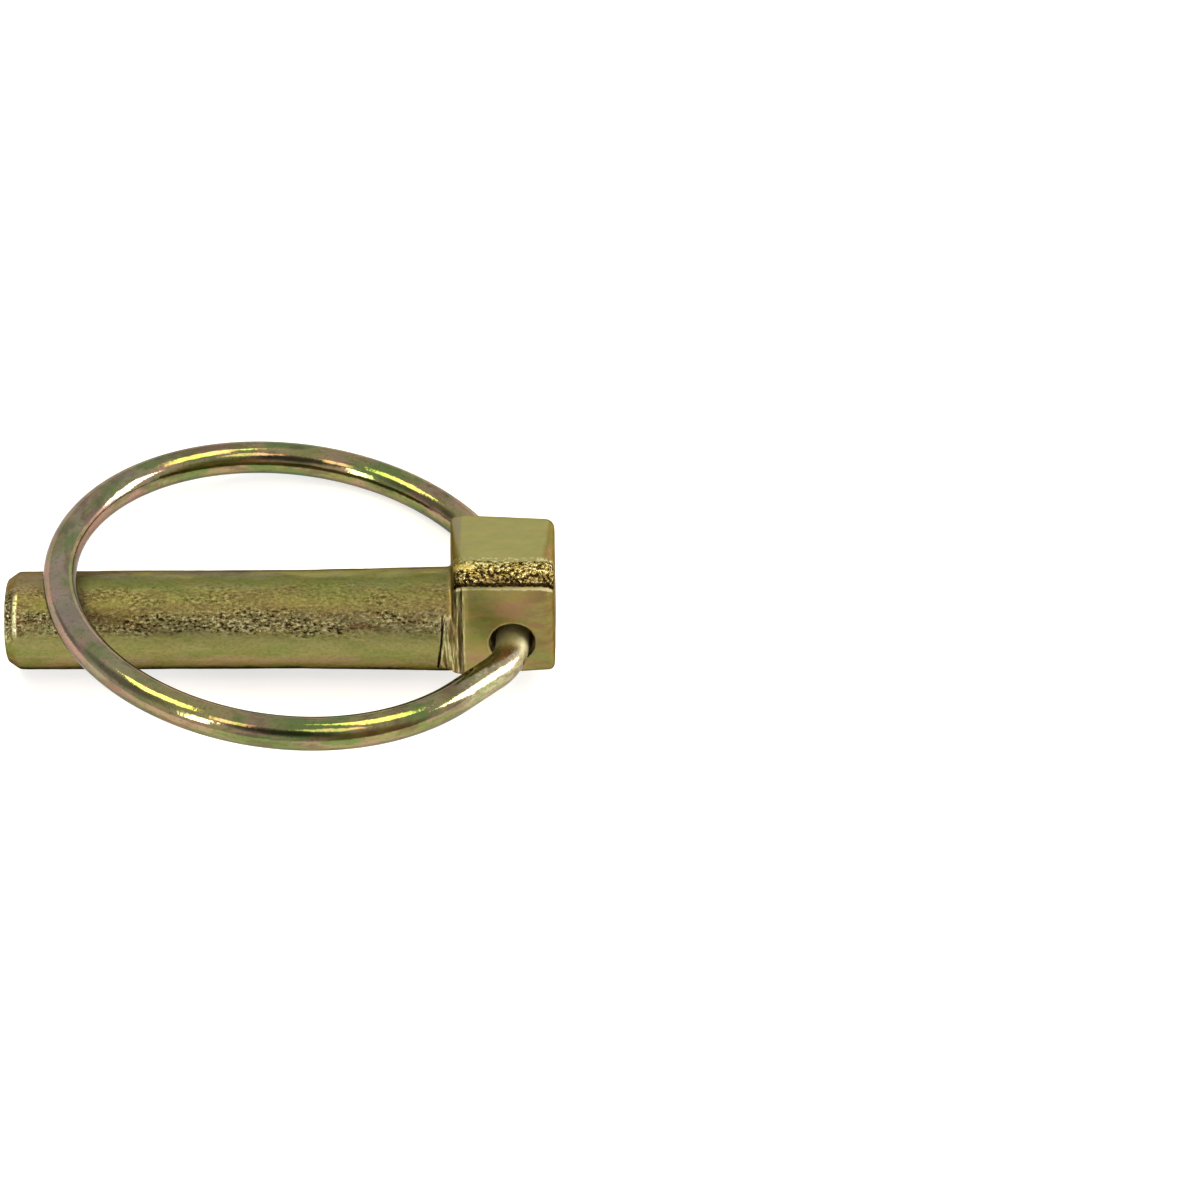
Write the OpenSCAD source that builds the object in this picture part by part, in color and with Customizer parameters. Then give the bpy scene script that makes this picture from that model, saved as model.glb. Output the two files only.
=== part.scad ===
// Lynch pin: a forged pin with a block-shaped head, and a spring-wire ring that swings in the head's hole and
// snaps down over the shank.
//
// The pin is drawn along X, with its tip at -X, the origin on the shank's axis at the head's shoulder, and the
// side that the ring closes on at +Z. It is then laid down as it comes to rest: on the shank, rolled over until
// the ring's edge meets the surface at z = 0.

/* [Shank] */
// Diameter of the straight stretch of the shank
shank_d = 11.1; // [9:0.1:13]
// Length of the shank, from its tip to the head's shoulder
shank_l = 49.5; // [46:0.1:54]
// Length of the chamfer at the tip
tip_chamfer_l = 1.3; // [0.6:0.1:2]
// Depth of the chamfer at the tip, measured along the radius
tip_chamfer_h = 0.9; // [0.4:0.1:1.6]
// Length of the lead behind the chamfer, where the shank is slightly thinner
lead_l = 10.6; // [10:0.1:16]
// How much thinner the lead is at the tip, measured along the radius
lead_h = 0.06; // [0.02:0.01:0.3]
// Length of the swell that leads up to the head
swell_l = 17; // [8:0.5:22]
// Height of the swell at the head, measured along the radius
swell_h = 0.3; // [0.1:0.05:0.4]

/* [Head] */
// Length of the head along the shank's axis
head_l = 11.7; // [11:0.1:14]
// Width of the head along its hole, at the shoulder
head_w = 11.8; // [11.8:0.1:13]
// Height of the head's top face above the shank's axis, at the shoulder
head_top = 10.3; // [9:0.1:12]
// Depth of the head's bottom face below the shank's axis, at the shoulder
head_bottom = 3.9; // [3.8:0.1:5.5]
// Draft of the head's top, front and back faces, in degrees
head_draft = 1; // [0:0.5:3]
// Draft of the head's bottom face, in degrees
under_draft = 2.5; // [0:0.5:6]
// Rounding of the head's edges at its shoulder
shoulder_edge_r = 0.7; // [0.4:0.1:1.2]
// Rounding of the back edges at the head's end
end_edge_r = 1.1; // [0.6:0.1:1.6]
// Rounding of the front edges at the head's end
front_edge_r = 0.7; // [0.4:0.1:1.4]
// Rounding of the edge between the top and front faces, where the forging was trimmed
trim_edge_r = 2; // [1:0.1:3]
// Length of the collar at the shoulder, where the gripping die held the head
collar_l = 1.6; // [1.2:0.1:2.5]
// How far the collar's front and back faces stand in at the shoulder
collar_in = 0.25; // [0:0.05:0.4]
// How far the shoulder stands back at the trimmed edge
shoulder_back = 0.6; // [0:0.1:0.9]
// Radius of the fillet between the shank and the shoulder
root_fillet_r = 0.4; // [0.3:0.1:1.2]
// Length over which the shank's underside runs out below the head
runout_l = 3.2; // [2:0.1:5]

/* [Ring hole] */
// Diameter of the hole for the ring's ends
hole_d = 4.95; // [4.9:0.05:5.6]
// Distance from the head's end face to the centre of the hole
hole_inset = 4.7; // [4.3:0.1:5.4]
// Height of the hole above the shank's axis
hole_up = 0.6; // [0:0.1:1]

/* [Ring] */
// Diameter of the spring wire
wire_d = 3.7; // [3.2:0.05:3.8]
// Diameter of the ring, measured along the middle of its wire
ring_d = 50.4; // [49.5:0.1:53]
// Angle that the ring's ends turn through to run straight into the hole, in degrees
end_turn = 38; // [32:1:42]
// Distance of that bend's corner from the head's face
end_out = 2.5; // [2:0.1:3]
// Radius of that bend, along the middle of the wire
end_bend_r = 9; // [6:0.5:9.5]
// Gap between the ring's two ends, inside the head's hole
ring_gap = 1; // [0.5:0.1:3]
// Clearance between the closed ring and the top of the shank
ring_clear = 0.15; // [0.05:0.05:0.4]
// Lean of the ring in its loose hole, in degrees, with the side that lies on the surface pushed up
ring_lean = 2.8; // [0:0.1:3]
// How far the ring has dropped in its loose hole
ring_drop = 0.25; // [0:0.05:0.25]

/* [Hidden] */

shank_r = shank_d / 2;
lead_r = shank_r - lead_h;
tip_r = lead_r - tip_chamfer_h;
swell_r = shank_r + swell_h;
wire_r = wire_d / 2;
ring_r = ring_d / 2;
round_fn = 24;   // corners of the head
smooth_fn = 96;  // turned and bent shapes
wire_lap = 0.05;   // how far a straight stretch of wire goes into the bent stretch beside it
wire_step = 0.01;  // how much thinner it is there, measured along the radius

// How far the head's faces close in between its shoulder and its end
draft_in = head_l * tan(head_draft);
under_in = head_l * tan(under_draft);

// The ring's ends: straight in the hole, then a bend around a corner outside the head's face, then a straight
// run that meets the circle
hole_x = head_l - hole_inset;
hole_z = hole_up - ring_drop;
corner_y = head_w / 2 + end_out;
bend_y = corner_y - end_bend_r * tan(end_turn / 2);
ring_reach = (ring_r - corner_y * sin(end_turn)) / cos(end_turn);
run_l = (ring_r * sin(end_turn) - corner_y) / cos(end_turn) - end_bend_r * tan(end_turn / 2);

// The closed ring lies across the lead, so it slopes up from the hole to the top of the shank there
ring_slope = asin((lead_r + ring_clear + wire_r - hole_z) / (ring_reach + ring_r));
ring_up = hole_z + ring_reach * sin(ring_slope);

// The shank touches the surface at the swell and behind the tip's chamfer
tip_rest_x = shank_l - tip_chamfer_l;
pitch = atan((swell_r - lead_r) / tip_rest_x);
lift = swell_r * cos(pitch);

// How level the ring lies when the pin is rolled over by the angle a, 1 when it is flat
function ring_level(a) =
    cos(pitch) * (cos(ring_lean) * cos(ring_slope) * cos(a) + sin(ring_lean) * sin(a))
    + sin(pitch) * cos(ring_lean) * sin(ring_slope);

// Height of the ring's lowest point above the surface at that roll
function ring_low(a) =
    lift + ring_up * cos(a) + (hole_x - ring_reach * cos(ring_slope)) * sin(pitch)
    - ring_r * sqrt(1 - ring_level(a) ^ 2) - wire_r;

// The roll at which that point meets the surface, found by halving the range that holds it
function settle(low, high, steps) =
    steps == 0 ? (low + high) / 2
    : ring_low((low + high) / 2) > 0 ? settle((low + high) / 2, high, steps - 1)
    : settle(low, (low + high) / 2, steps - 1);
roll = settle(8, 40, 30);

// Middle of the laid-down part, seen from above
mid_x = (head_l - shank_l) / 2 * cos(pitch);
mid_y = ring_up * sin(roll);

// Lays a piece down on the surface at z = 0, with the middle of the part over the origin
module as_it_lies() {
    translate([-mid_x, -mid_y, lift]) rotate([-roll, -pitch, 0]) children();
}

// Turned outline of the shank, drawn with its length along the outline's Y axis and revolved about it
module shank() {
    rotate([0, 90, 0]) rotate_extrude($fn = smooth_fn) polygon([
        [0, -shank_l],
        [tip_r, -shank_l],
        [lead_r, -tip_rest_x],
        [shank_r, -tip_rest_x + lead_l],
        [shank_r, -swell_l],
        [swell_r, 0],
        [swell_r - runout_l / 6, runout_l / 2],
        [head_bottom - under_in, runout_l],
        [0, runout_l]
    ]);
}

// Ring of metal that fills the corner between the shank and the shoulder
module root_fillet() {
    rotate([0, 90, 0]) rotate_extrude($fn = smooth_fn) difference() {
        translate([0, -root_fillet_r]) square([swell_r + root_fillet_r, root_fillet_r + shoulder_edge_r]);
        translate([swell_r + root_fillet_r, -root_fillet_r]) circle(root_fillet_r);
    }
}

// One rounded corner post of the head, from the shoulder over the collar's edge to the drafted end
module head_post(side, z, z_in, r, end_r, back = 0) {
    up = sign(z);
    translate([back + r, side * (head_w / 2 - collar_in - r), z - up * r]) sphere(r);
    translate([max(collar_l, back + r), side * (head_w / 2 - r), z - up * r]) sphere(r);
    translate([head_l - end_r, side * (head_w / 2 - draft_in - end_r), z - up * (z_in + end_r)]) sphere(end_r);
}

// Forged block of the head, with rounded edges and draft
module head_block() {
    hull($fn = round_fn) {
        head_post(-1, head_top, draft_in, trim_edge_r, trim_edge_r, shoulder_back);
        head_post(1, head_top, draft_in, shoulder_edge_r, end_edge_r);
        head_post(-1, -head_bottom, under_in, shoulder_edge_r, front_edge_r);
        head_post(1, -head_bottom, under_in, shoulder_edge_r, end_edge_r);
    }
}

// The forged pin: shank and head in one piece, with the ring's hole drilled through the head
module pin_body() {
    color([0.55, 0.51, 0.31]) difference() {
        union() {
            shank();
            head_block();
            intersection() {
                root_fillet();
                translate([-root_fillet_r, 0, 0]) head_block();
            }
        }
        translate([hole_x, 0, hole_up]) rotate([90, 0, 0])
            cylinder(h = 2 * head_w, d = hole_d, center = true, $fn = smooth_fn);
    }
}

// One end of the ring, drawn from the ring's centre: the straight run off the circle, the bend, and the straight
// end in the hole
module ring_end() {
    translate([ring_reach, ring_gap / 2, 0]) straight_wire(bend_y - ring_gap / 2);
    translate([ring_reach - end_bend_r, bend_y, 0]) {
        rotate_extrude(angle = end_turn) translate([end_bend_r, 0]) circle(wire_r);
        rotate([0, 0, end_turn]) translate([end_bend_r, -wire_lap, 0]) straight_wire(run_l + wire_lap);
    }
}

// Straight stretch of the wire, let into the bent stretch that it runs on to
module straight_wire(l) {
    rotate([-90, 0, 0]) cylinder(h = l + wire_lap, r = wire_r - wire_step);
}

// The ring: spring wire bent to a circle, whose two ends are turned in and face each other inside the hole
module snap_ring() {
    color([0.62, 0.56, 0.25])
        translate([hole_x, 0, hole_z]) rotate([ring_lean, ring_slope, 0]) translate([-ring_reach, 0, 0])
        union($fn = smooth_fn) {
            rotate([0, 0, end_turn]) rotate_extrude(angle = 360 - 2 * end_turn)
                translate([ring_r, 0]) circle(wire_r);
            ring_end();
            mirror([0, 1, 0]) ring_end();
        }
}

as_it_lies() pin_body();
as_it_lies() snap_ring();
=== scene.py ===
# Lynch pin: a forged pin with a spring-wire ring, both zinc plated and passivated to a yellow chromate.
import math

import bmesh
import bpy
import mathutils
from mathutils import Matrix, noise


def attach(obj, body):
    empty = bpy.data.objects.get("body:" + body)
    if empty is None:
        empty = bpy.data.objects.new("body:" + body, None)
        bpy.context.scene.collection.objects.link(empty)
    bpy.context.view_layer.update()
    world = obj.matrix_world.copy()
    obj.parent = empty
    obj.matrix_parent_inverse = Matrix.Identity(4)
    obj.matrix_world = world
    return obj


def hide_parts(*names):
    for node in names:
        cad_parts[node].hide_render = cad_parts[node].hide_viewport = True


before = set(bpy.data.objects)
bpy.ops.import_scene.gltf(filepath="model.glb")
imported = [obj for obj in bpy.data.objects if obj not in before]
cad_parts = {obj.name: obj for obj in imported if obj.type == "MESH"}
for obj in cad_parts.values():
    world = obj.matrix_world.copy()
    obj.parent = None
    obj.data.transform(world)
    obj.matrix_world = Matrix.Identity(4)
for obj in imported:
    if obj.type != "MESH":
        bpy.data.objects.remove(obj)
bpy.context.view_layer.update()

# Sizes of the part in millimetres, in the pin's own frame: its tip at -X, the origin on the shank's axis at
# the head's shoulder, and the side that the ring closes on at +Z
SHANK_R = 5.55
SHANK_L = 49.5
TIP_CHAMFER_L = 1.3
TIP_CHAMFER_H = 0.9
LEAD_L = 10.6
LEAD_H = 0.06
SWELL_L = 17.0
SWELL_H = 0.3
RUNOUT_L = 3.2
RUNOUT_IN = 0.5
HEAD_L = 11.7
HEAD_W = 11.8
HEAD_TOP = 10.3
HEAD_BOTTOM = 3.9
HEAD_DRAFT = math.radians(1.0)
UNDER_DRAFT = math.radians(2.5)
SHOULDER_EDGE_R = 0.7
END_EDGE_R = 1.1
FRONT_EDGE_R = 0.7
TRIM_EDGE_R = 2.0
COLLAR_L = 1.6
COLLAR_IN = 0.25
SHOULDER_BACK = 0.6
HOLE_R = 2.475
HOLE_X = 7.0
HOLE_UP = 0.6
WIRE_R = 1.85
WIRE_END_EDGE = 0.25
RING_R = 25.2
RING_GAP = 1.0
RING_CLEAR = 0.15
RING_LEAN = math.radians(2.8)
RING_DROP = 0.25
END_TURN = math.radians(38.0)
END_OUT = 2.5
END_BEND_R = 9.0

# What follows from them for the shank and the head
LEAD_R = SHANK_R - LEAD_H
SWELL_R = SHANK_R + SWELL_H
DRAFT_IN = HEAD_L * math.tan(HEAD_DRAFT)
UNDER_IN = HEAD_L * math.tan(UNDER_DRAFT)

# Where the ring's ends leave its circle and turn into the hole, from the ring's centre
CORNER_Y = HEAD_W / 2 + END_OUT
BEND_Y = CORNER_Y - END_BEND_R * math.tan(END_TURN / 2)
RING_REACH = (RING_R - CORNER_Y * math.sin(END_TURN)) / math.cos(END_TURN)
RUN_L = (RING_R * math.sin(END_TURN) - CORNER_Y) / math.cos(END_TURN) - END_BEND_R * math.tan(END_TURN / 2)

# The closed ring slopes up from the hole to the top of the shank's lead
HOLE_Z = HOLE_UP - RING_DROP
RING_SLOPE = math.asin((LEAD_R + RING_CLEAR + WIRE_R - HOLE_Z) / (RING_REACH + RING_R))
RING_UP = HOLE_Z + RING_REACH * math.sin(RING_SLOPE)

# The shank lies on its swell and on the edge behind its tip's chamfer
PITCH = math.atan((SWELL_R - LEAD_R) / (SHANK_L - TIP_CHAMFER_L))
LIFT = SWELL_R * math.cos(PITCH)

# The least and the most that the pin could be rolled over, and how often that range is halved
ROLL_RANGE = (math.radians(8.0), math.radians(40.0))
HALVINGS = 30

# How finely the shapes are made: steps round each of them, the voxel of the forging's skin in millimetres,
# how often that skin is smoothed, and how far the drill reaches from the middle of the head
CORNER_STEPS = 24
HOLE_STEPS = 96
SHANK_STEPS = 128
WIRE_STEPS = 40
BEND_STEPS = 16
RING_STEPS = 280
VOXEL = 0.19
SMOOTHINGS = 3
DRILL_REACH = 9.0

# The torn edge between the head's top and front faces: where it starts along the head, how far its middle
# lies in from the block's sharp corner, and how far from there it reaches and fades out
TRIM_START = 0.2
TRIM_MIDDLE = 0.6
TRIM_REACH = 2.1
TRIM_FADE = 0.9

# Heights of the forging's unevenness in millimetres, how quickly each kind changes along the skin, and how
# far the skin is set in to make up for it
LONG_WAVE = 0.03
LONG_RATE = 0.35
SHORT_WAVE = 0.012
SHORT_RATE = 1.1
WAVE_IN = 0.02
TORN = 0.16
TORN_RATE_ALONG = 1.3
TORN_RATE_ACROSS = 2.2
TORN_IN = 0.05

# Depth of the finer relief of the pin's and of the ring's surface, in metres
PIN_RELIEF = 0.00014
RING_RELIEF = 0.0001

MM = 0.001


def turn(roll, pitch):
    """A turn about X and then about Y, as the part's source makes it."""
    return mathutils.Euler((roll, pitch, 0.0)).to_matrix().to_4x4()


def ring_level(roll):
    """How level the ring lies when the pin is rolled over by this angle: 1 when it is flat."""
    lean = math.cos(RING_LEAN)
    across = lean * math.cos(RING_SLOPE) * math.cos(roll) + math.sin(RING_LEAN) * math.sin(roll)
    return math.cos(PITCH) * across + math.sin(PITCH) * lean * math.sin(RING_SLOPE)


def ring_low(roll):
    """Height of the ring's lowest point above the floor at that roll."""
    centre = LIFT + RING_UP * math.cos(roll) + (HOLE_X - RING_REACH * math.cos(RING_SLOPE)) * math.sin(PITCH)
    return centre - RING_R * math.sqrt(1 - ring_level(roll) ** 2) - WIRE_R


def settled_roll():
    """The roll at which that point meets the floor, found by halving the range that holds it."""
    low, high = ROLL_RANGE
    for _ in range(HALVINGS):
        middle = (low + high) / 2
        if ring_low(middle) > 0:
            low = middle
        else:
            high = middle
    return (low + high) / 2


# How the pin and the ring lie on the floor, with the middle of the part over the origin
ROLL = settled_roll()
PLACE = ((SHANK_L - HEAD_L) / 2 * math.cos(PITCH), -RING_UP * math.sin(ROLL), LIFT)
LIE = mathutils.Matrix.Translation(PLACE) @ turn(-ROLL, -PITCH)
RING_HINGE = LIE @ mathutils.Matrix.Translation((HOLE_X, 0.0, HOLE_Z)) @ turn(RING_LEAN, RING_SLOPE)
RING_PLACE = RING_HINGE @ mathutils.Matrix.Translation((-RING_REACH, 0.0, 0.0))


def new_object(name, bm):
    """A new object of the scene that holds the mesh as it is."""
    mesh = bpy.data.meshes.new(name)
    bm.to_mesh(mesh)
    bm.free()
    made = bpy.data.objects.new(name, mesh)
    bpy.context.scene.collection.objects.link(made)
    return made


def finished_mesh(made):
    """The object's mesh with its modifiers applied, as a new bmesh. The object itself is removed."""
    graph = bpy.context.evaluated_depsgraph_get()
    graph.update()
    bm = bmesh.new()
    bm.from_object(made, graph)
    bpy.data.objects.remove(made)
    return bm


def quarter_turn(bm, verts, axis):
    """Turns the points by 90 degrees about one of the axes."""
    matrix = mathutils.Matrix.Rotation(math.pi / 2, 3, axis)
    bmesh.ops.rotate(bm, cent=(0, 0, 0), matrix=matrix, verts=verts)


def finished_piece(name, bm, place):
    """A finished piece, smoothly shaded, laid down from its own frame in millimetres."""
    lying = place.copy()
    lying.translation *= MM
    bmesh.ops.scale(bm, vec=(MM, MM, MM), verts=bm.verts)
    bmesh.ops.transform(bm, matrix=lying, verts=bm.verts)
    for face in bm.faces:
        face.smooth = True
    return new_object(name, bm)


def lathe(bm, outline, steps):
    """Spins an outline of (length, radius) points about the X axis."""
    corners = [bm.verts.new((x, 0.0, r)) for x, r in outline]
    edges = [bm.edges.new(pair) for pair in zip(corners, corners[1:])]
    bmesh.ops.spin(bm, geom=corners + edges, cent=(0, 0, 0), axis=(1, 0, 0), angle=2 * math.pi,
                   steps=steps, use_merge=True)
    bmesh.ops.remove_doubles(bm, verts=bm.verts, dist=1e-4)
    bmesh.ops.recalc_face_normals(bm, faces=bm.faces)


def corner_post(bm, side, z, z_in, r, end_r, back=0.0):
    """One rounded corner of the head: at the shoulder, at the edge of the collar and at the drafted end."""
    up = math.copysign(1.0, z)
    for x, y, height, size in (
            (back + r, HEAD_W / 2 - COLLAR_IN - r, z - up * r, r),
            (max(COLLAR_L, back + r), HEAD_W / 2 - r, z - up * r, r),
            (HEAD_L - end_r, HEAD_W / 2 - DRAFT_IN - end_r, z - up * (z_in + end_r), end_r)):
        place = mathutils.Matrix.Translation((x, side * y, height))
        bmesh.ops.create_uvsphere(bm, u_segments=CORNER_STEPS, v_segments=CORNER_STEPS * 2 // 3, radius=size,
                                  matrix=place)


def head_block():
    """The head's block, drafted and rounded."""
    bm = bmesh.new()
    corner_post(bm, -1, HEAD_TOP, DRAFT_IN, TRIM_EDGE_R, TRIM_EDGE_R, SHOULDER_BACK)
    corner_post(bm, 1, HEAD_TOP, DRAFT_IN, SHOULDER_EDGE_R, END_EDGE_R)
    corner_post(bm, -1, -HEAD_BOTTOM, UNDER_IN, SHOULDER_EDGE_R, FRONT_EDGE_R)
    corner_post(bm, 1, -HEAD_BOTTOM, UNDER_IN, SHOULDER_EDGE_R, END_EDGE_R)
    hull = bmesh.ops.convex_hull(bm, input=bm.verts)
    inside = [v for v in hull["geom_interior"] if isinstance(v, bmesh.types.BMVert)]
    bmesh.ops.delete(bm, geom=inside, context="VERTS")
    bmesh.ops.recalc_face_normals(bm, faces=bm.faces)
    return new_object("block", bm)


def drilled_block():
    """The head's block with the ring's hole drilled through it."""
    block = head_block()
    bm = bmesh.new()
    outline = [(-DRILL_REACH, 0), (-DRILL_REACH, HOLE_R), (DRILL_REACH, HOLE_R), (DRILL_REACH, 0)]
    lathe(bm, outline, HOLE_STEPS)
    quarter_turn(bm, bm.verts, "Z")
    bmesh.ops.translate(bm, vec=(HOLE_X, 0, HOLE_UP), verts=bm.verts)
    drill = new_object("drill", bm)
    hole = block.modifiers.new("hole", "BOOLEAN")
    hole.operation = "DIFFERENCE"
    hole.solver = "EXACT"
    hole.object = drill
    made = finished_mesh(block)
    bpy.data.objects.remove(drill)
    return made


def near_trim(p):
    """How much a point of the pin lies on the torn edge between the head's top and front faces."""
    if p.x < TRIM_START:
        return 0.0
    from_middle = math.hypot(p.y + HEAD_W / 2 - TRIM_MIDDLE, p.z - HEAD_TOP + TRIM_MIDDLE)
    return max(0.0, min(1.0, (TRIM_REACH - from_middle) / TRIM_FADE))


def unevenness(p):
    """How far the forging's skin stands out at a point of the pin, in millimetres."""
    trim = near_trim(p)
    wave = LONG_WAVE * noise.noise(p * LONG_RATE) + SHORT_WAVE * noise.noise(p * SHORT_RATE) - WAVE_IN
    tears = mathutils.Vector((p.x * TORN_RATE_ALONG, p.y * TORN_RATE_ACROSS, p.z * TORN_RATE_ACROSS))
    torn = TORN * noise.noise(tears)
    return wave * (1 - trim) + (torn - TORN_IN) * trim


def forged_pin():
    """Shank and head in one piece, with the soft transitions and the small unevenness of a forging."""
    bm = drilled_block()
    lathe(bm, [
        (-SHANK_L, 0),
        (-SHANK_L, LEAD_R - TIP_CHAMFER_H),
        (-SHANK_L + TIP_CHAMFER_L, LEAD_R),
        (-SHANK_L + TIP_CHAMFER_L + LEAD_L, SHANK_R),
        (-SWELL_L, SHANK_R),
        (0, SWELL_R),
        (RUNOUT_L / 2, SWELL_R - RUNOUT_L / 6),
        (RUNOUT_L, HEAD_BOTTOM - RUNOUT_IN),
        (RUNOUT_L, 0),
    ], SHANK_STEPS)
    blank = new_object("blank", bm)
    skin = blank.modifiers.new("skin", "REMESH")
    skin.mode = "VOXEL"
    skin.voxel_size = VOXEL
    bm = finished_mesh(blank)
    for _ in range(SMOOTHINGS):
        bmesh.ops.smooth_vert(bm, verts=bm.verts, factor=0.5,
                              use_axis_x=True, use_axis_y=True, use_axis_z=True)
    bm.normal_update()
    moves = [v.normal * unevenness(v.co) for v in bm.verts]
    for v, move in zip(bm.verts, moves):
        v.co += move
    return finished_piece("forged_pin", bm, LIE)


def open_edges(geom):
    """The edges among what an operator made that are still open."""
    return [e for e in geom if isinstance(e, bmesh.types.BMEdge) and e.is_boundary]


def straight(bm, end, way):
    """Draws the wire on from its open end along a straight way, and returns the new open end."""
    drawn = bmesh.ops.extrude_edge_only(bm, edges=end)["geom"]
    bmesh.ops.translate(bm, vec=way, verts=[v for v in drawn if isinstance(v, bmesh.types.BMVert)])
    return open_edges(drawn)


def bent(bm, end, centre, angle, steps):
    """Bends the wire on from its open end about an upright axis, and returns the new open end."""
    corners = list({v for e in end for v in e.verts})
    drawn = bmesh.ops.spin(bm, geom=corners + end, cent=centre, axis=(0, 0, 1), angle=angle, steps=steps)
    return [e for e in drawn["geom_last"] if isinstance(e, bmesh.types.BMEdge)]


def wire_ring():
    """Spring wire bent to a circle, its two ends turned in to face each other inside the head's hole."""
    bm = bmesh.new()
    section = bmesh.ops.create_circle(bm, segments=WIRE_STEPS, radius=WIRE_R)["verts"]
    quarter_turn(bm, section, "X")
    bmesh.ops.translate(bm, vec=(RING_REACH, RING_GAP / 2, 0), verts=section)
    inside = (0, BEND_Y - RING_GAP / 2, 0)
    leaving = mathutils.Vector((-math.sin(END_TURN), math.cos(END_TURN), 0)) * RUN_L
    coming = mathutils.Vector((math.sin(END_TURN), math.cos(END_TURN), 0)) * RUN_L
    end = straight(bm, bm.edges[:], inside)
    end = bent(bm, end, (RING_REACH - END_BEND_R, BEND_Y, 0), END_TURN, BEND_STEPS)
    end = straight(bm, end, leaving)
    end = bent(bm, end, (0, 0, 0), 2 * math.pi - 2 * END_TURN, RING_STEPS)
    end = straight(bm, end, coming)
    end = bent(bm, end, (RING_REACH - END_BEND_R, -BEND_Y, 0), END_TURN, BEND_STEPS)
    straight(bm, end, inside)
    caps = bmesh.ops.holes_fill(bm, edges=open_edges(bm.edges))["faces"]
    rims = list({e for f in caps for e in f.edges})
    bmesh.ops.bevel(bm, geom=rims, offset=WIRE_END_EDGE, affect="EDGES", segments=3, profile=0.5,
                    material=-1)
    bmesh.ops.recalc_face_normals(bm, faces=bm.faces)
    return finished_piece("wire_ring", bm, RING_PLACE)


class Wire:
    """A socket of a node tree. Arithmetic on it adds Math nodes to the tree."""

    def __init__(self, tree, socket):
        self.tree = tree
        self.socket = socket

    def __add__(self, other):
        return self.tree.math("ADD", self, other)

    def __radd__(self, other):
        return self.tree.math("ADD", other, self)

    def __sub__(self, other):
        return self.tree.math("SUBTRACT", self, other)

    def __rsub__(self, other):
        return self.tree.math("SUBTRACT", other, self)

    def __mul__(self, other):
        return self.tree.math("MULTIPLY", self, other)

    def __rmul__(self, other):
        return self.tree.math("MULTIPLY", other, self)

    def __truediv__(self, other):
        return self.tree.math("DIVIDE", self, other)

    def __rtruediv__(self, other):
        return self.tree.math("DIVIDE", other, self)


class Tree:
    """A node tree that is written as calls and expressions."""

    def __init__(self, owner):
        owner.use_nodes = True
        self.nodes = owner.node_tree.nodes
        self.links = owner.node_tree.links
        self.nodes.clear()

    def node(self, kind, settings=None, inputs=None, output=None):
        """Adds a node: its settings first, then the values or links of its sockets."""
        made = self.nodes.new(kind)
        for key, value in (settings or {}).items():
            setattr(made, key, value)
        for key, value in (inputs or {}).items():
            socket = self.pick(made.inputs, key)
            if isinstance(value, Wire):
                self.links.new(value.socket, socket)
            else:
                socket.default_value = value
        if not made.outputs:
            return made
        return Wire(self, self.pick(made.outputs, 0 if output is None else output))

    @staticmethod
    def pick(sockets, key):
        """The socket in use that has this name or number."""
        used = [s for s in sockets if s.enabled]
        return used[key] if isinstance(key, int) else next(s for s in used if s.name == key)

    def math(self, operation, a, b=None):
        """A Math node on one or two values."""
        inputs = {0: a} if b is None else {0: a, 1: b}
        return self.node("ShaderNodeMath", {"operation": operation}, inputs)

    def mix(self, share, a, b):
        """Mixes two colours."""
        return self.node("ShaderNodeMix", {"data_type": "RGBA"}, {"Factor": share, "A": a, "B": b})

    def noise(self, vector, scale, detail, roughness):
        """Smooth noise between about 0.2 and 0.8."""
        return self.node("ShaderNodeTexNoise", None, {
            "Vector": vector, "Scale": scale, "Detail": detail, "Roughness": roughness})

    def step(self, value, low, high):
        """Rises smoothly from 0 at low to 1 at high."""
        return self.node("ShaderNodeMapRange", {"interpolation_type": "SMOOTHSTEP"}, {
            "Value": value, "From Min": low, "From Max": high, "To Min": 0.0, "To Max": 1.0})

    def around(self, value, centre, reach):
        """1 where the value is near the centre, and 0 from the reach on."""
        return 1 - self.step(self.math("ABSOLUTE", value - centre), reach * 0.45, reach)

    def distance(self, a, b):
        """How far off a point lies that is a and b away along two axes."""
        return self.math("SQRT", a * a + b * b)

    def stretched(self, vector, factors):
        """The vector with each axis scaled by its own factor."""
        return self.node("ShaderNodeVectorMath", {"operation": "MULTIPLY"}, {0: vector, 1: factors})

    def parts(self, vector):
        """The X, Y and Z of a vector."""
        made = self.node("ShaderNodeSeparateXYZ", None, {"Vector": vector})
        return [Wire(self, s) for s in made.socket.node.outputs]


def srgb(red, green, blue):
    """A colour given in the 0 to 255 of a picture, as a shader takes it."""
    made = []
    for value in (red, green, blue):
        value /= 255
        made.append(value / 12.92 if value <= 0.04045 else ((value + 0.055) / 1.055) ** 2.4)
    return (*made, 1.0)


# Colours of the chromate film, some of which are also laid on it as painted light and shade
OLIVE = srgb(128, 122, 72)
GREEN = srgb(104, 120, 66)
MOSS = srgb(84, 106, 46)
LEAF = srgb(126, 126, 74)
ROSE = srgb(150, 124, 102)
BLUSH = srgb(160, 116, 108)
GOLD = srgb(140, 120, 62)
BROWN = srgb(84, 64, 40)
# A dark olive laid only as painted dark reflection across the middle of the shank
PAINTED_SHADE = srgb(92, 87, 60)
AMBER = srgb(216, 196, 122)
SAND = srgb(164, 160, 110)
PALE = srgb(214, 206, 164)
BLACK = srgb(34, 25, 15)
LAVENDER = srgb(136, 126, 118)
STEEL = srgb(190, 180, 148)

# The tint of the metal's reflections at grazing angles
GRAZING = (0.2, 0.15, 0.1, 1.0)
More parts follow.
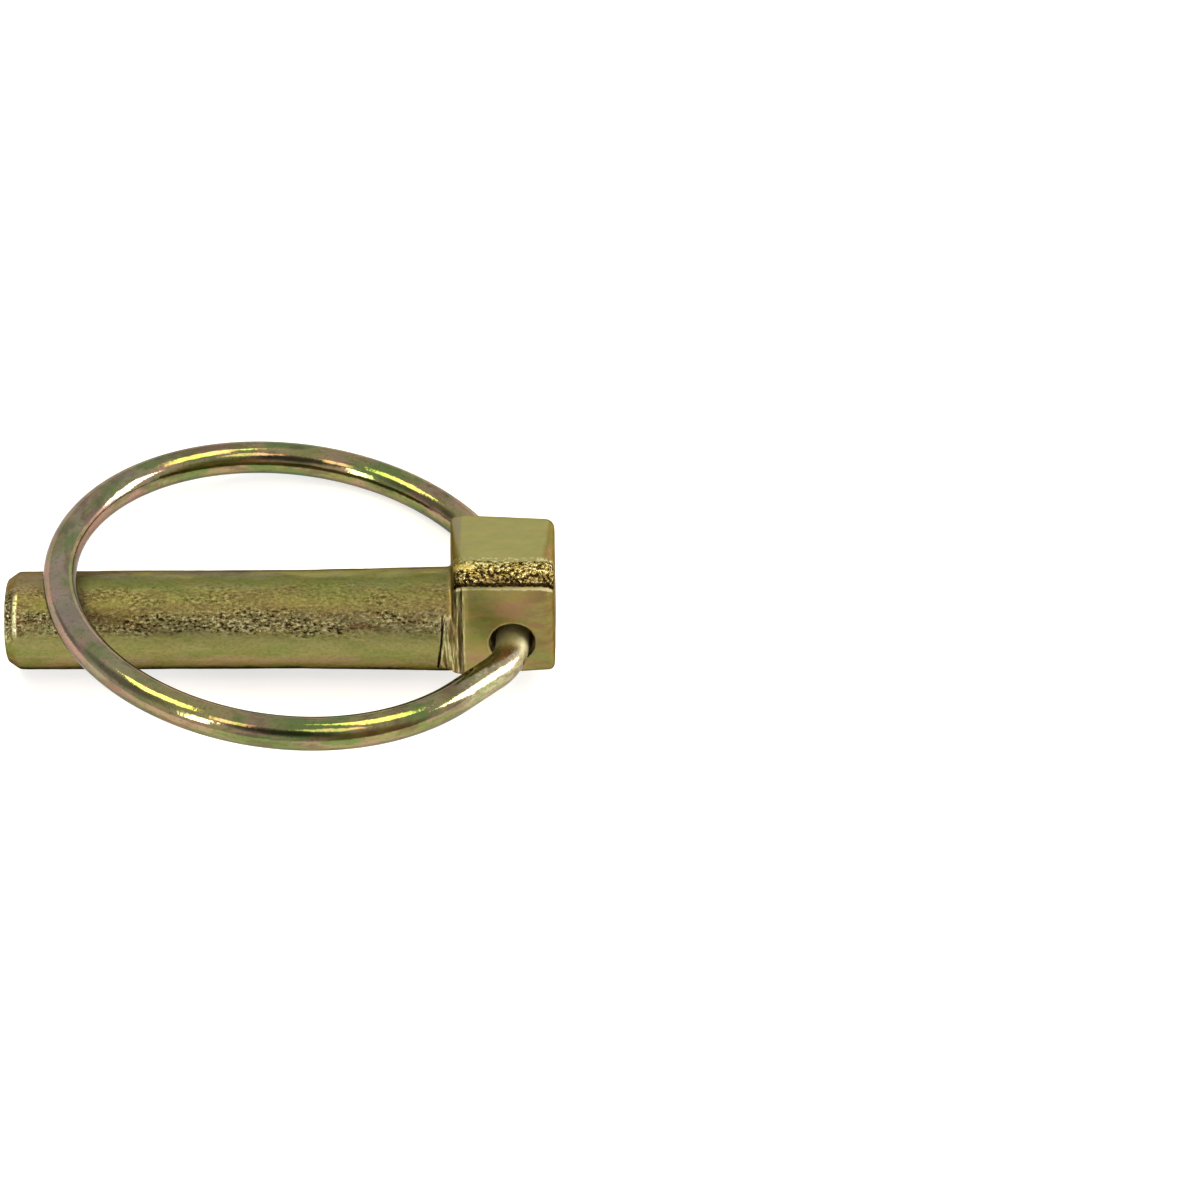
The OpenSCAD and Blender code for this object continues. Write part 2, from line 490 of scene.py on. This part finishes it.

# Bands along the shank: the middle and the reach of each in degrees round the shank, up from its front, the
# share that it covers, its colour, and whether the rose patches break it up. The bands at 56 and 50 degrees
# are painted dark reflection across the middle, the one at -58 is painted shade along the lower edge, the
# one at 126 darkens the shank just behind its top edge, and the rest are tones of the film
SHANK_BANDS = (
    (86, 16, 0.5, GREEN, True),
    # The next two bands are painted dark reflection across the middle of the shank
    (56, 20, 0.55, BROWN, True),
    (50, 26, 0.62, PAINTED_SHADE, False),
    (4, 26, 0.7, LEAF, True),
    (-24, 14, 0.4, ROSE, True),
    # Painted shade along the shank's lower edge
    (-58, 25, 0.95, BLACK, False),
    (126, 18, 0.6, BROWN, False),
)


class Film:
    """The colour of a plated piece, laid on layer by layer over olive, in the piece's own frame."""

    def __init__(self, tree, place):
        self.tree = tree
        self.colour = OLIVE
        where = tree.node("ShaderNodeTexCoord", output="Object")
        self.at = tree.node("ShaderNodeMapping", {"vector_type": "TEXTURE"}, {
            "Vector": where, "Location": place.translation * MM, "Rotation": place.to_euler(),
            "Scale": (MM, MM, MM)})
        self.x, self.y, self.z = tree.parts(self.at)

    def lay(self, share, colour):
        """Covers this share of what is there with a colour."""
        self.colour = self.tree.mix(share, self.colour, colour)


class PinFilm(Film):
    """The colour of the forged pin: the film's patches, the shank's bands and blasting, and the places on
    the head, with painted reflections, shade, highlights and light laid among them.
    """

    def __init__(self, tree):
        super().__init__(tree, LIE)
        self.along = tree.stretched(self.at, (0.3, 1.0, 1.0))
        mirrored = tree.stretched(self.along, (1.0, 1.0, -1.3))
        self.green_patches = tree.step(tree.noise(self.along, 0.5, 3.0, 0.6), 0.4, 0.62)
        self.rose_patches = tree.step(tree.noise(mirrored, 0.6, 3.0, 0.6), 0.42, 0.62)
        self.gold_patches = tree.step(tree.noise(self.along, 1.1, 4.0, 0.65), 0.46, 0.64)
        self.grain = tree.noise(tree.stretched(self.at, (0.6, 1.0, 1.0)), 3.6, 3.0, 0.62)
        self.shank = 1 - tree.step(self.x, -0.6, 0.4)
        self.side = self.shank * tree.step(tree.distance(self.y, self.z), 3.8, 4.7)
        wander = 24 * tree.noise(self.along, 0.7, 3.0, 0.6) - 12
        self.turned = tree.math("ARCTAN2", self.z, 0 - self.y) * (180 / math.pi) + wander
        face = 1 - tree.step(self.y, 1.0 - HEAD_W / 2, 1.6 - HEAD_W / 2)
        self.front = face * (1 - tree.step(self.z, HEAD_TOP - 2.7, HEAD_TOP - 2.1))

    def patches(self):
        """Broad patches of colour all over the pin."""
        self.lay(self.green_patches * 0.5, GREEN)
        self.lay(self.rose_patches * 0.4, ROSE)
        self.lay(self.gold_patches * (0.35 - 0.28 * self.shank), GOLD)
        self.lay(self.shank * 0.1, BLACK)

    def bands(self):
        """Bands along the shank, and a rosy tip: tones of the film, a painted pale reflection along the top
        edge, a painted dark reflection across the middle and painted shade along the lower edge.
        """
        tree = self.tree
        # Painted pale reflection along the shank's top edge
        painted_top_reflection = tree.mix(self.green_patches * 0.8, SAND, LAVENDER)
        self.lay(self.side * tree.around(self.turned, 107, 20) * 0.9, painted_top_reflection)
        broken = self.side * (0.3 + 0.7 * self.rose_patches)
        for middle, reach, share, colour, is_broken in SHANK_BANDS:
            cover = broken if is_broken else self.side
            self.lay(cover * tree.around(self.turned, middle, reach) * share, colour)
        tip = 1 - tree.step(self.x, 3.5 - SHANK_L, 6.5 - SHANK_L)
        self.lay(tip * self.side * tree.around(self.turned, 88, 26) * 0.5, ROSE)

    def blasting(self):
        """Pits and specks of blasting, thickest on a belt that is painted darker as a painted dark
        reflection.
        Returns how blasted each place is.
        """
        tree = self.tree
        # Painted dark reflection: a belt round the middle of the shank laid darker, with the pits laid
        # thickest on it and over the middle
        belt = tree.around(self.turned, 30, 18) * self.side
        self.lay(belt * (0.6 + 0.35 * self.green_patches), tree.mix(self.gold_patches, PAINTED_SHADE, BROWN))
        worn = 0.4 + tree.step(tree.noise(self.along, 0.6, 2.0, 0.5), 0.42, 0.6)
        band = tree.around(self.turned, 46, 40)
        end = self.side * (1 - tree.step(self.x, 0.1 - SHANK_L, TIP_CHAMFER_L + 0.6 - SHANK_L))
        blasted = self.side * (0.17 + 0.35 * band * worn + 0.6 * belt * worn) + (1 - self.side) * 0.08
        blasted = tree.math("MAXIMUM", blasted, end * tree.around(self.turned, 38, 46))
        self.lay(tree.step(self.grain, 0.53, 0.61) * blasted, BLACK)
        specks = 1 - tree.step(self.grain, 0.38, 0.46)
        self.lay(specks * blasted * (0.26 + 0.6 * end), PALE)
        return blasted

    def tip_edge(self):
        """A painted highlight along the edge behind the tip's chamfer, and a dull line beside it."""
        tree = self.tree
        edge_x = TIP_CHAMFER_L - SHANK_L
        # Painted highlight: a pale line on the edge behind the chamfer
        bright = self.side * tree.around(self.x, edge_x, 0.35) * tree.around(self.turned, 40, 30)
        self.lay(bright * tree.step(self.grain, 0.42, 0.5), PALE)
        dull = self.side * tree.around(self.x, edge_x + 0.5, 0.4) * tree.around(self.turned, 36, 24)
        self.lay(dull * tree.step(self.grain, 0.4, 0.5), BROWN)

    def head_faces(self):
        """A top face laid lighter as painted light from above, and warmer front and sides. Returns where the
        top face is.
        """
        tree = self.tree
        head = 1 - self.shank
        top = tree.step(self.z, HEAD_TOP - 0.5, HEAD_TOP - 0.2) * head
        # Painted light: the top face laid lighter than the rest of the head
        self.lay(top * 0.75, SAND)
        warm = head * (1 - top) * tree.step(tree.noise(self.at, 0.42, 4.0, 0.6), 0.42, 0.6)
        self.lay(warm * 0.5, GOLD)
        self.lay(warm * self.gold_patches * 0.5, BLUSH)
        self.lay(top * tree.around(self.x, 0.7, 0.8) * 0.6, LAVENDER)
        near_shank = self.front * (1 - tree.step(self.x, 3.0, 6.5)) * head
        self.lay(near_shank * 0.3 * self.green_patches, MOSS)
        near_end = self.front * tree.step(self.x, 5.5, 10.5)
        self.lay(near_end * (0.15 + 0.35 * self.rose_patches), BROWN)
        return top

    def collar(self):
        """Streaks left by the gripping die. Returns the two lines at the collar's edges."""
        tree = self.tree
        streaks = tree.noise(tree.stretched(self.at, (2.0, 0.4, 0.22)), 1.0, 3.0, 0.6)
        starts = self.front * tree.step(self.x, -1.4, -0.6)
        gripped = starts * (1 - tree.step(self.x + streaks, COLLAR_L + 0.4, COLLAR_L + 0.7))
        self.lay(gripped * tree.step(streaks, 0.5, 0.6) * 0.8, BROWN)
        self.lay(gripped * tree.around(streaks, 0.44, 0.06) * 0.5, PALE)
        seam = self.front * tree.around(self.x + streaks * 0.3, COLLAR_L - 0.2, 0.35)
        low = 1 - tree.step(self.z, 2.4, 3.6)
        die_line = self.front * tree.around(self.x - 0.11 * self.z + 0.3 * streaks, -0.83, 0.16) * low
        lines = tree.math("MAXIMUM", seam * 0.7, die_line)
        self.lay(lines, BLACK)
        return lines

    def torn_edge(self):
        """The torn edge where the forging was trimmed. Returns where it is and how it is torn."""
        tree = self.tree
        across = self.y + self.z - (HEAD_TOP - HEAD_W / 2)
        edge = tree.step(self.z - self.y, HEAD_TOP, HEAD_TOP + 1.5) * tree.step(self.x, TRIM_START, 0.5)
        ragged = 0.5 * tree.noise(self.at, 1.6, 3.0, 0.6) - 0.25
        band = tree.step(across + ragged, -2.05, -1.9) * (1 - tree.step(across + 3 * ragged, 1.7, 2.1))
        trim = band * edge
        torn = tree.noise(tree.stretched(self.at, (0.8, 1.0, 1.0)), 3.2, 3.0, 0.65) + 0.02 * across
        self.lay(trim * 0.8, GOLD)
        self.lay(trim * tree.step(torn, 0.57, 0.63), PALE)
        self.lay(trim * (1 - tree.step(torn, 0.45, 0.51)), BLACK)
        smear = edge * tree.around(self.x, 1.5, 1.7) * tree.around(across + ragged, 1.1, 0.7)
        self.lay(smear * 0.8, AMBER)
        chips = 0.05 * tree.around(self.x, HEAD_L - 1.2, 2.0)
        flecks = edge * tree.around(across, 2.1, 0.9) * tree.step(torn + chips, 0.6, 0.65)
        self.lay(flecks * 0.8, PALE)
        lip = trim * (1 - tree.step(across + ragged, -1.55, -1.35))
        self.lay(lip * 0.9, BLACK)
        below = self.front * tree.around(across + ragged, -2.25, 0.3) * (1 - self.shank)
        self.lay(below * 0.6, PALE)
        return trim, torn

    def hole(self):
        """A bore painted pale as painted light inside the hole, a painted shadow at its mouth and a painted
        highlight on the rim over it. Returns where the bore is.
        """
        tree = self.tree
        from_middle = tree.distance(self.x - HOLE_X, self.z - HOLE_UP)
        bore = 1 - tree.step(from_middle, HOLE_R + 0.05, HOLE_R + 0.2)
        upper = tree.step(self.z - self.x, HOLE_UP - HOLE_X, HOLE_UP - HOLE_X + 1)
        # Painted highlight along the upper rim of the hole
        self.lay(self.front * tree.around(from_middle, HOLE_R + 0.2, 0.2) * upper * 0.3, PALE)
        # Painted light on the bore's wall
        self.lay(bore * 0.9, PALE)
        # Painted shadow at the mouth of the hole
        mouth = bore * tree.around(tree.math("ABSOLUTE", self.y), HEAD_W / 2 - 0.15, 0.5)
        self.lay(mouth * 0.85, BLACK)
        return bore


def chromate_pin():
    """Satin yellow chromate on a blasted forging, with painted light and shade laid into its colour."""
    material = bpy.data.materials.new("chromate_pin")
    tree = Tree(material)
    film = PinFilm(tree)
    film.patches()
    film.bands()
    blasted = film.blasting()
    film.tip_edge()
    top = film.head_faces()
    lines = film.collar()
    trim, torn = film.torn_edge()
    bore = film.hole()
    rough = 0.4 + 0.08 * film.gold_patches - 0.16 * trim + 0.06 * top + 0.1 * bore
    waves = 0.4 * tree.noise(film.at, 1.1, 3.0, 0.55)
    height = waves + blasted * film.grain + 1.6 * trim * torn - 1.2 * lines
    bump = tree.node("ShaderNodeBump", None, {"Strength": 1.0, "Distance": PIN_RELIEF, "Height": height})
    return plated(tree, material, film.colour, rough, bump)


class RingFilm(Film):
    """The colour of the ring: patches along the wire, a duller far end with a painted sheen along the wire's
    sides, and the ends that rub in the hole, laid pale there as painted light.
    """

    def __init__(self, tree):
        super().__init__(tree, RING_PLACE)
        self.out = tree.distance(self.x, self.y)
        self.round_wire = self.z + 0.6 * (self.out - RING_R)
        self.grain = tree.noise(self.at, 2.6, 4.0, 0.65)
        self.pits = tree.step(self.grain, 0.54, 0.64)
        self.marks = tree.noise(self.unrolled(14.0, 3.2), 1.0, 3.0, 0.6)
        self.moss_patches = tree.step(tree.noise(self.unrolled(3.6, 0.5), 1.0, 3.0, 0.6), 0.42, 0.58)
        self.blush_patches = tree.step(tree.noise(self.unrolled(-3.2, 0.6), 1.3, 3.0, 0.6), 0.46, 0.6)
        self.brown_patches = tree.step(tree.noise(self.unrolled(5.0, -0.7), 1.0, 3.0, 0.6), 0.5, 0.62)

    def unrolled(self, along, across):
        """Coordinates that run along the ring and across its wire at their own rates, without a seam."""
        return self.tree.node("ShaderNodeCombineXYZ", None, {
            "X": along * self.x / self.out, "Y": along * self.y / self.out, "Z": across * self.round_wire})

    def patches(self):
        """Patches of moss green, pink and brown along the wire."""
        self.lay(self.moss_patches * 0.85, MOSS)
        self.lay(self.blush_patches * 0.5, BLUSH)
        self.lay(self.brown_patches * 0.6, BROWN)

    def far_side(self):
        """Lavender on the ring's far side, with pink along the wire's sides as a painted iridescent sheen.
        """
        tree = self.tree
        far = tree.step(0 - self.x, 12.0, 22.0)
        self.lay(far * (0.55 - 0.45 * self.moss_patches), LAVENDER)
        # Painted sheen: pink along the wire's sides
        sides = tree.around(tree.math("ABSOLUTE", self.out - RING_R), WIRE_R - 0.2, 0.7)
        self.lay(far * sides * (0.1 + 0.5 * self.blush_patches), BLUSH)

    def hinge_end(self):
        """The bent ends, rubbed and dull, and laid pale as painted light where they lie in the hole's shade.
        Returns where they are, and where they go into the hole.
        """
        tree = self.tree
        hinge = tree.step(self.x, RING_REACH - 7.0, RING_REACH - 3.0)
        rubbed = hinge * tree.step(self.marks + self.grain, 0.9, 1.15)
        from_middle = tree.math("ABSOLUTE", self.y)
        inside = hinge * (1 - tree.step(from_middle, HEAD_W / 2 + 0.8, HEAD_W / 2 + 3.4))
        self.lay(hinge * 0.25 + rubbed * 0.4, STEEL)
        # Painted light: the wire in and near the hole laid pale where the hole shades it
        self.lay(inside * (1.4 - self.marks), PALE)
        return hinge, inside


def chromate_ring():
    """Bright yellow chromate on drawn wire, with a painted sheen and painted light laid into its colour."""
    material = bpy.data.materials.new("chromate_ring")
    tree = Tree(material)
    film = RingFilm(tree)
    film.patches()
    film.far_side()
    film.lay(film.pits * 0.45, BROWN)
    hinge, inside = film.hinge_end()
    rough = 0.08 + 0.06 * film.pits + 0.04 * film.blush_patches + 0.08 * hinge + 0.3 * inside
    height = 0.45 * tree.noise(film.at, 0.7, 2.0, 0.5) + 0.1 * film.grain + 0.04 * film.marks
    bump = tree.node("ShaderNodeBump", None, {"Strength": 0.8, "Distance": RING_RELIEF, "Height": height})
    return plated(tree, material, film.colour, rough, bump, clear_film=0.6)


def plated(tree, material, colour, rough, bump, clear_film=0.0):
    """The plated metal's shader: metal under a clear film."""
    shader = tree.node("ShaderNodeBsdfPrincipled", None, {
        "Base Color": colour, "Metallic": 1.0, "Roughness": rough, "Normal": bump,
        "Specular Tint": GRAZING, "Coat Weight": clear_film, "Coat Roughness": 0.1})
    tree.node("ShaderNodeOutputMaterial", None, {"Surface": shader})
    return material


def dress(piece, node, body, material):
    """Puts a finished piece in the place of its CAD node."""
    piece.data.materials.clear()
    piece.data.materials.append(material)
    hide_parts(node)
    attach(piece, body)


# The tints of the lamps overhead, and how far every lamp stands from the part, in metres
WARM = (1.0, 0.96, 0.35)
PEACH = (1.0, 0.7, 0.48)
LAMP_AWAY = 0.6

WHITE = (1.0, 1.0, 1.0, 1.0)
FLOOR_GREY = (0.62, 0.62, 0.62, 1.0)
DARK_BROWN = (0.5, 0.34, 0.22, 1.0)


def towards(azimuth, elevation):
    """A direction from its azimuth, clockwise from +Y as seen from above, and its elevation, in degrees."""
    a = math.radians(azimuth)
    e = math.radians(elevation)
    return mathutils.Vector((math.sin(a) * math.cos(e), math.cos(a) * math.cos(e), math.sin(e)))


def softbox(name, azimuth, elevation, width, height, brightness, tint=(1.0, 1.0, 1.0)):
    """A soft lamp that faces the part, as bright to look at as stated, where 1 is white."""
    lamp = bpy.data.lights.new(name, "AREA")
    lamp.shape = "RECTANGLE"
    lamp.size = width
    lamp.size_y = height
    lamp.energy = brightness * math.pi * width * height
    lamp.color = tint
    made = bpy.data.objects.new(name, lamp)
    bpy.context.scene.collection.objects.link(made)
    way = towards(azimuth, elevation)
    place = mathutils.Matrix.Translation(way * LAMP_AWAY)
    made.matrix_world = place @ way.to_track_quat("Z", "Y").to_matrix().to_4x4()
    made.visible_camera = False


def rays(tree):
    """Masks for what the camera sees in any way, also in metal or glass, and for what it sees straight."""
    path = tree.node("ShaderNodeLightPath")
    outs = path.socket.node.outputs
    camera_ray = Wire(tree, outs["Is Camera Ray"])
    total = camera_ray + Wire(tree, outs["Is Glossy Ray"]) + Wire(tree, outs["Is Transmission Ray"])
    return tree.math("MINIMUM", total, 1.0), camera_ray


def pale_floor():
    """A pale matt floor that looks white and still takes the part's shadow."""
    bm = bmesh.new()
    bmesh.ops.create_circle(bm, cap_ends=True, segments=64, radius=1.6)
    floor = new_object("floor", bm)
    material = bpy.data.materials.new("pale_floor")
    tree = Tree(material)
    seen, _ = rays(tree)
    matt = tree.node("ShaderNodeBsdfDiffuse", None, {"Color": FLOOR_GREY})
    glow = tree.node("ShaderNodeEmission", None, {"Color": WHITE, "Strength": 0.55 * seen})
    both = tree.node("ShaderNodeAddShader", None, {0: matt, 1: glow})
    tree.node("ShaderNodeOutputMaterial", None, {"Surface": both})
    floor.data.materials.append(material)


def tent():
    """The surroundings: a pale tent, darker behind the camera and on the left, brown low on the right."""
    world = bpy.data.worlds.new("studio")
    bpy.context.scene.world = world
    tree = Tree(world)
    _, camera_ray = rays(tree)
    way = tree.node("ShaderNodeTexCoord", output="Generated")

    def patch(azimuth, elevation, inner, outer):
        """1 in a round patch of the tent, fading out between two angles from its middle."""
        near = tree.node("ShaderNodeVectorMath", {"operation": "DOT_PRODUCT"},
                         {0: way, 1: towards(azimuth, elevation)}, output="Value")
        return tree.step(near, math.cos(math.radians(outer)), math.cos(math.radians(inner)))

    behind_camera = patch(168, 50, 6, 30)
    left_side = patch(-96, 38, 6, 30)
    left_low = patch(-72, 4, 4, 20)
    level = 0.95 * (1 - 0.88 * behind_camera) * (1 - 0.6 * left_side) * (1 - 0.5 * left_low)
    strength = camera_ray + (1 - camera_ray) * level
    brown = patch(136, 14, 8, 36) * (1 - camera_ray)
    hue = tree.mix(brown, WHITE, DARK_BROWN)
    background = tree.node("ShaderNodeBackground", None, {"Color": hue, "Strength": strength})
    tree.node("ShaderNodeOutputWorld", None, {"Surface": background})


def studio():
    """Floor, surroundings and lamps."""
    pale_floor()
    tent()
    softbox("key", 76, 14, 0.19, 0.38, 14.0)
    softbox("strip", -146, 36, 0.1, 0.3, 14.0)
    softbox("top_front", -158, 68, 0.12, 0.2, 5.0, PEACH)
    softbox("top_left", -70, 66, 0.24, 0.2, 8.0, WARM)
    softbox("top_back", 52, 54, 0.28, 0.15, 7.5, WARM)
    softbox("top_right", 118, 62, 0.18, 0.18, 4.5, PEACH)


# The photograph's viewpoint in metres, and how far it looks down, in degrees
CAMERA_PLACE = (0.03557, -0.30334, 0.40870)
CAMERA_DOWN = 52.9


def camera():
    """The photograph's view: level with the part's length, and looking down on it."""
    lens = bpy.data.cameras.new("camera")
    lens.lens = 135.0
    lens.sensor_width = 36.0
    lens.clip_start = 0.01
    made = bpy.data.objects.new("camera", lens)
    bpy.context.scene.collection.objects.link(made)
    made.location = CAMERA_PLACE
    made.rotation_euler = (math.radians(90.0 - CAMERA_DOWN), 0.0, 0.0)
    bpy.context.scene.camera = made


bpy.context.scene.view_settings.view_transform = "Standard"
camera()
studio()
dress(forged_pin(), "pin_body", "pin", chromate_pin())
dress(wire_ring(), "snap_ring", "ring", chromate_ring())
